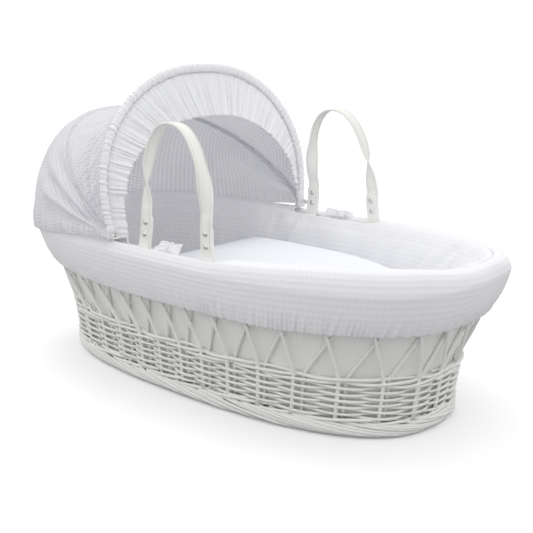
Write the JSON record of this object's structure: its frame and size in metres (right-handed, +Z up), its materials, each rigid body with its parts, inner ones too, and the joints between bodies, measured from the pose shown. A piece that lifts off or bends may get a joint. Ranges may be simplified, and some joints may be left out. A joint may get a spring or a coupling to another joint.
{
  "type": "moses basket",
  "caption": "Oval woven willow baby basket with quilted dressing, mattress, two strap handles and a folding frilled hood.",
  "frame": {"origin": "centre of the underside of the woven floor", "axes": "+X towards the foot end, -X towards the hooded head end, +Y to the far side, +Z up"},
  "size_m": [0.845, 0.4354, 0.4889],
  "materials": {
    "painted_willow": "white painted willow, satin, slightly worn",
    "waffle_cotton": "white waffle-weave cotton, matt",
    "cream_lining": "off-white plain-weave cotton lining, matt",
    "coverlet_cotton": "fine pale waffle-weave cotton quilt, matt",
    "ticking": "plain white cotton ticking, matt",
    "foam": "soft closed foam",
    "strap_leather": "cream-white leatherette, satin",
    "rivet_nickel": "nickel-plated, polished",
    "hood_wire": "white-coated spring wire, satin",
    "clip_plastic": "white moulded plastic",
    "elastic": "covered elastic cord, matt"
  },
  "bodies": {
    "basket": {"foot_border": "painted_willow", "cross_base_sticks": "painted_willow", "long_base_sticks": "painted_willow", "base_weave": "painted_willow", "foot_wale": "painted_willow", "lower_wall": "painted_willow", "top_wale": "painted_willow", "lattice_left": "painted_willow", "lattice_right": "painted_willow", "upper_band": "painted_willow", "rim_border": "painted_willow", "inner_lining": "cream_lining", "mattress": "foam", "mattress_cover": "ticking", "coverlet": "coverlet_cotton", "bumper": "waffle_cotton", "skirt": "waffle_cotton", "skirt_elastic": "elastic", "near_tie": "waffle_cotton", "far_tie": "waffle_cotton", "near_hood_clip": "clip_plastic", "far_hood_clip": "clip_plastic", "hood_pins": "rivet_nickel", "hood_elastic": "elastic", "canopy_back": "waffle_cotton"},
    "near_handle": {"near_strap": "strap_leather", "near_rivets": "rivet_nickel"},
    "far_handle": {"far_strap": "strap_leather", "far_rivets": "rivet_nickel"},
    "hood_rear": {"rear_hoop": "hood_wire", "canopy_top": "waffle_cotton"},
    "hood_front": {"front_hoop": "hood_wire", "frill": "waffle_cotton", "frill_casing": "waffle_cotton"}
  },
  "joints": [
    {"name": "near_handle_swing", "type": "hinge", "parent": "basket", "child": "near_handle", "pos_m": [0.033, -0.19096, 0.216], "axis": [1, 0, 0], "range_deg": [-55, 88]},
    {"name": "far_handle_swing", "type": "hinge", "parent": "basket", "child": "far_handle", "pos_m": [0.044, 0.19078, 0.216], "axis": [-1, 0, 0], "range_deg": [-55, 88]},
    {"name": "hood_rear_fold", "type": "hinge", "parent": "basket", "child": "hood_rear", "pos_m": [-0.077, 0, 0.248], "axis": [-0.0872, -0.9962, 0], "range_deg": [0, 24], "deforming": ["canopy_back"]},
    {"name": "hood_front_fold", "type": "hinge", "parent": "hood_rear", "child": "hood_front", "pos_m": [-0.077, 0, 0.248], "axis": [-0.0872, -0.9962, 0], "range_deg": [0, 34], "deforming": ["canopy_top"]}
  ],
  "couplings": [
    {"joint": "hood_front_fold", "follows": "hood_rear_fold", "ratio": 1.4167}
  ]
}
